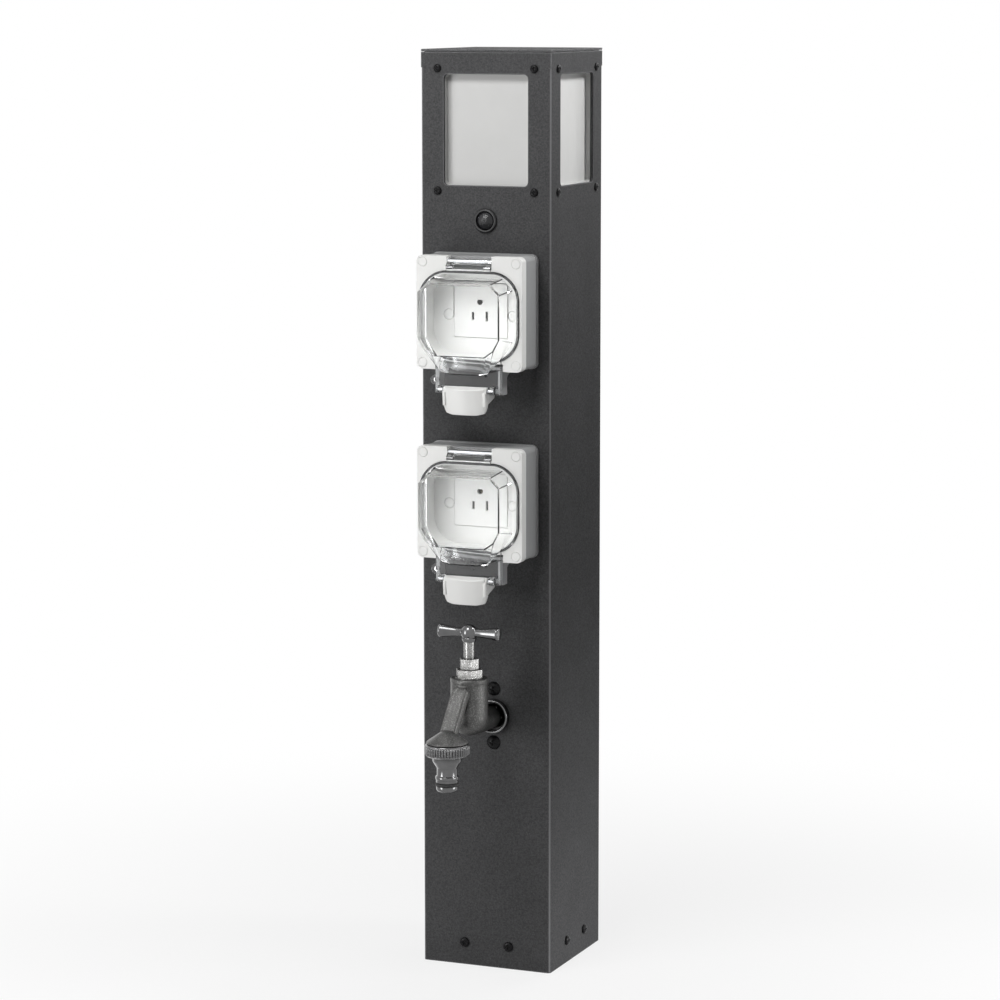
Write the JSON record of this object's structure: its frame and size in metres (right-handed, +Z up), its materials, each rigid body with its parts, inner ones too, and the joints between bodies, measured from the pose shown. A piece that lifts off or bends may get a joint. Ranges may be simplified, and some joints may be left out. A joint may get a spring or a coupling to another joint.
{
  "type": "garden socket post",
  "caption": "Square steel garden post with an opal lamp head, a motion sensor, weatherproof outlets under clear latched hoods, and a plated tap with a hose adapter.",
  "frame": {"origin": "centre of the post's square footprint, on the ground, which is also the centre of the anchor holes", "axes": "+Z up the post, -Y out of the side with the outlets and the tap, +X to the right when that side is seen from in front"},
  "size_m": [0.1248, 0.2437, 0.8],
  "materials": {
    "powder_coat": "fine-textured graphite powder coat on sheet steel",
    "zinc_steel": "zinc-plated steel",
    "black_screw": "black-finished steel",
    "opal_plastic": "opal white diffuser",
    "gasket_rubber": "soft black rubber",
    "holder_plastic": "ivory lamp holder",
    "bulb_white": "white lamp globe with a plain cap",
    "sensor_lens": "smoked sensor dome",
    "sensor_black": "black moulded plastic",
    "box_grey": "grey moulded plastic",
    "frame_white": "white moulded plastic",
    "seal_grey": "grey sealing strip",
    "contact_brass": "plain brass",
    "clear_plastic": "clear moulded plastic",
    "tap_nickel": "satin nickel plating on brass",
    "tap_chrome": "bright plating on brass",
    "pipe_white": "white plastic pipe",
    "terminal_grey": "light grey moulded plastic",
    "cable_black": "black cable sheath"
  },
  "bodies": {
    "post": {"post_casing": "powder_coat", "top_cap": "powder_coat", "base_bracket": "zinc_steel", "base_screws": "black_screw", "front_lamp_window": "opal_plastic", "right_lamp_window": "opal_plastic", "back_lamp_window": "opal_plastic", "left_lamp_window": "opal_plastic", "window_gaskets": "gasket_rubber", "window_screws": "black_screw", "lamp_shelf": "zinc_steel", "lamp_holder": "holder_plastic", "led_bulb": "bulb_white", "sensor_dome": "sensor_lens", "sensor_bezel": "sensor_black", "sensor_body": "sensor_black", "sensor_nut": "sensor_black", "upper_back_box": "box_grey", "lower_back_box": "box_grey", "upper_front_frame": "frame_white", "lower_front_frame": "frame_white", "upper_lid_seal": "seal_grey", "lower_lid_seal": "seal_grey", "upper_socket_carrier": "frame_white", "lower_socket_carrier": "frame_white", "upper_socket_insert": "frame_white", "lower_socket_insert": "frame_white", "upper_contacts": "contact_brass", "lower_contacts": "contact_brass", "lid_hinge_pins": "zinc_steel", "box_screws": "zinc_steel", "frame_screws": "zinc_steel", "screw_caps": "frame_white", "carrier_screws": "frame_white", "tap_flange": "tap_chrome", "tap_body": "tap_nickel", "tap_bonnet": "tap_nickel", "tap_gland_nut": "tap_nickel", "hose_adapter": "tap_chrome", "hose_o_ring": "gasket_rubber", "tap_screws": "black_screw", "wall_elbow": "contact_brass", "riser_pipe": "pipe_white", "inlet_coupling": "contact_brass", "terminal_box": "terminal_grey", "terminal_box_cover": "terminal_grey", "upper_outlet_lead": "cable_black", "lower_outlet_lead": "cable_black", "lamp_lead": "cable_black", "sensor_lead": "cable_black"},
    "upper_lid": {"upper_clear_lid": "clear_plastic", "upper_latch_pin": "zinc_steel"},
    "lower_lid": {"lower_clear_lid": "clear_plastic", "lower_latch_pin": "zinc_steel"},
    "upper_latch_arm": {"upper_latch": "frame_white"},
    "lower_latch_arm": {"lower_latch": "frame_white"},
    "valve": {"tap_jumper": "contact_brass", "valve_washer": "gasket_rubber"},
    "handle": {"tap_spindle": "tap_nickel", "tap_handle": "tap_chrome"}
  },
  "joints": [
    {"name": "upper_lid_hinge", "type": "hinge", "parent": "post", "child": "upper_lid", "pos_m": [0, -0.093, 0.6223], "axis": [-1, 0, 0], "range_deg": [0, 100]},
    {"name": "lower_lid_hinge", "type": "hinge", "parent": "post", "child": "lower_lid", "pos_m": [0, -0.093, 0.4593], "axis": [-1, 0, 0], "range_deg": [0, 100]},
    {"name": "upper_latch_hinge", "type": "hinge", "parent": "upper_lid", "child": "upper_latch_arm", "pos_m": [0, -0.1035, 0.5142], "axis": [-1, 0, 0], "range_deg": [0, 40]},
    {"name": "lower_latch_hinge", "type": "hinge", "parent": "lower_lid", "child": "lower_latch_arm", "pos_m": [0, -0.1035, 0.3512], "axis": [-1, 0, 0], "range_deg": [0, 40]},
    {"name": "valve_lift", "type": "slide", "parent": "post", "child": "valve", "axis": [0, 0, 1], "range_m": [0, 0.0041]},
    {"name": "handle_turn", "type": "hinge", "parent": "valve", "child": "handle", "pos_m": [0.007, -0.114, 0.3], "axis": [0, 0, 1], "range_deg": [0, 720]}
  ],
  "couplings": [
    {"joint": "valve_lift", "follows": "handle_turn", "m_per_rad": 0.00031831}
  ]
}
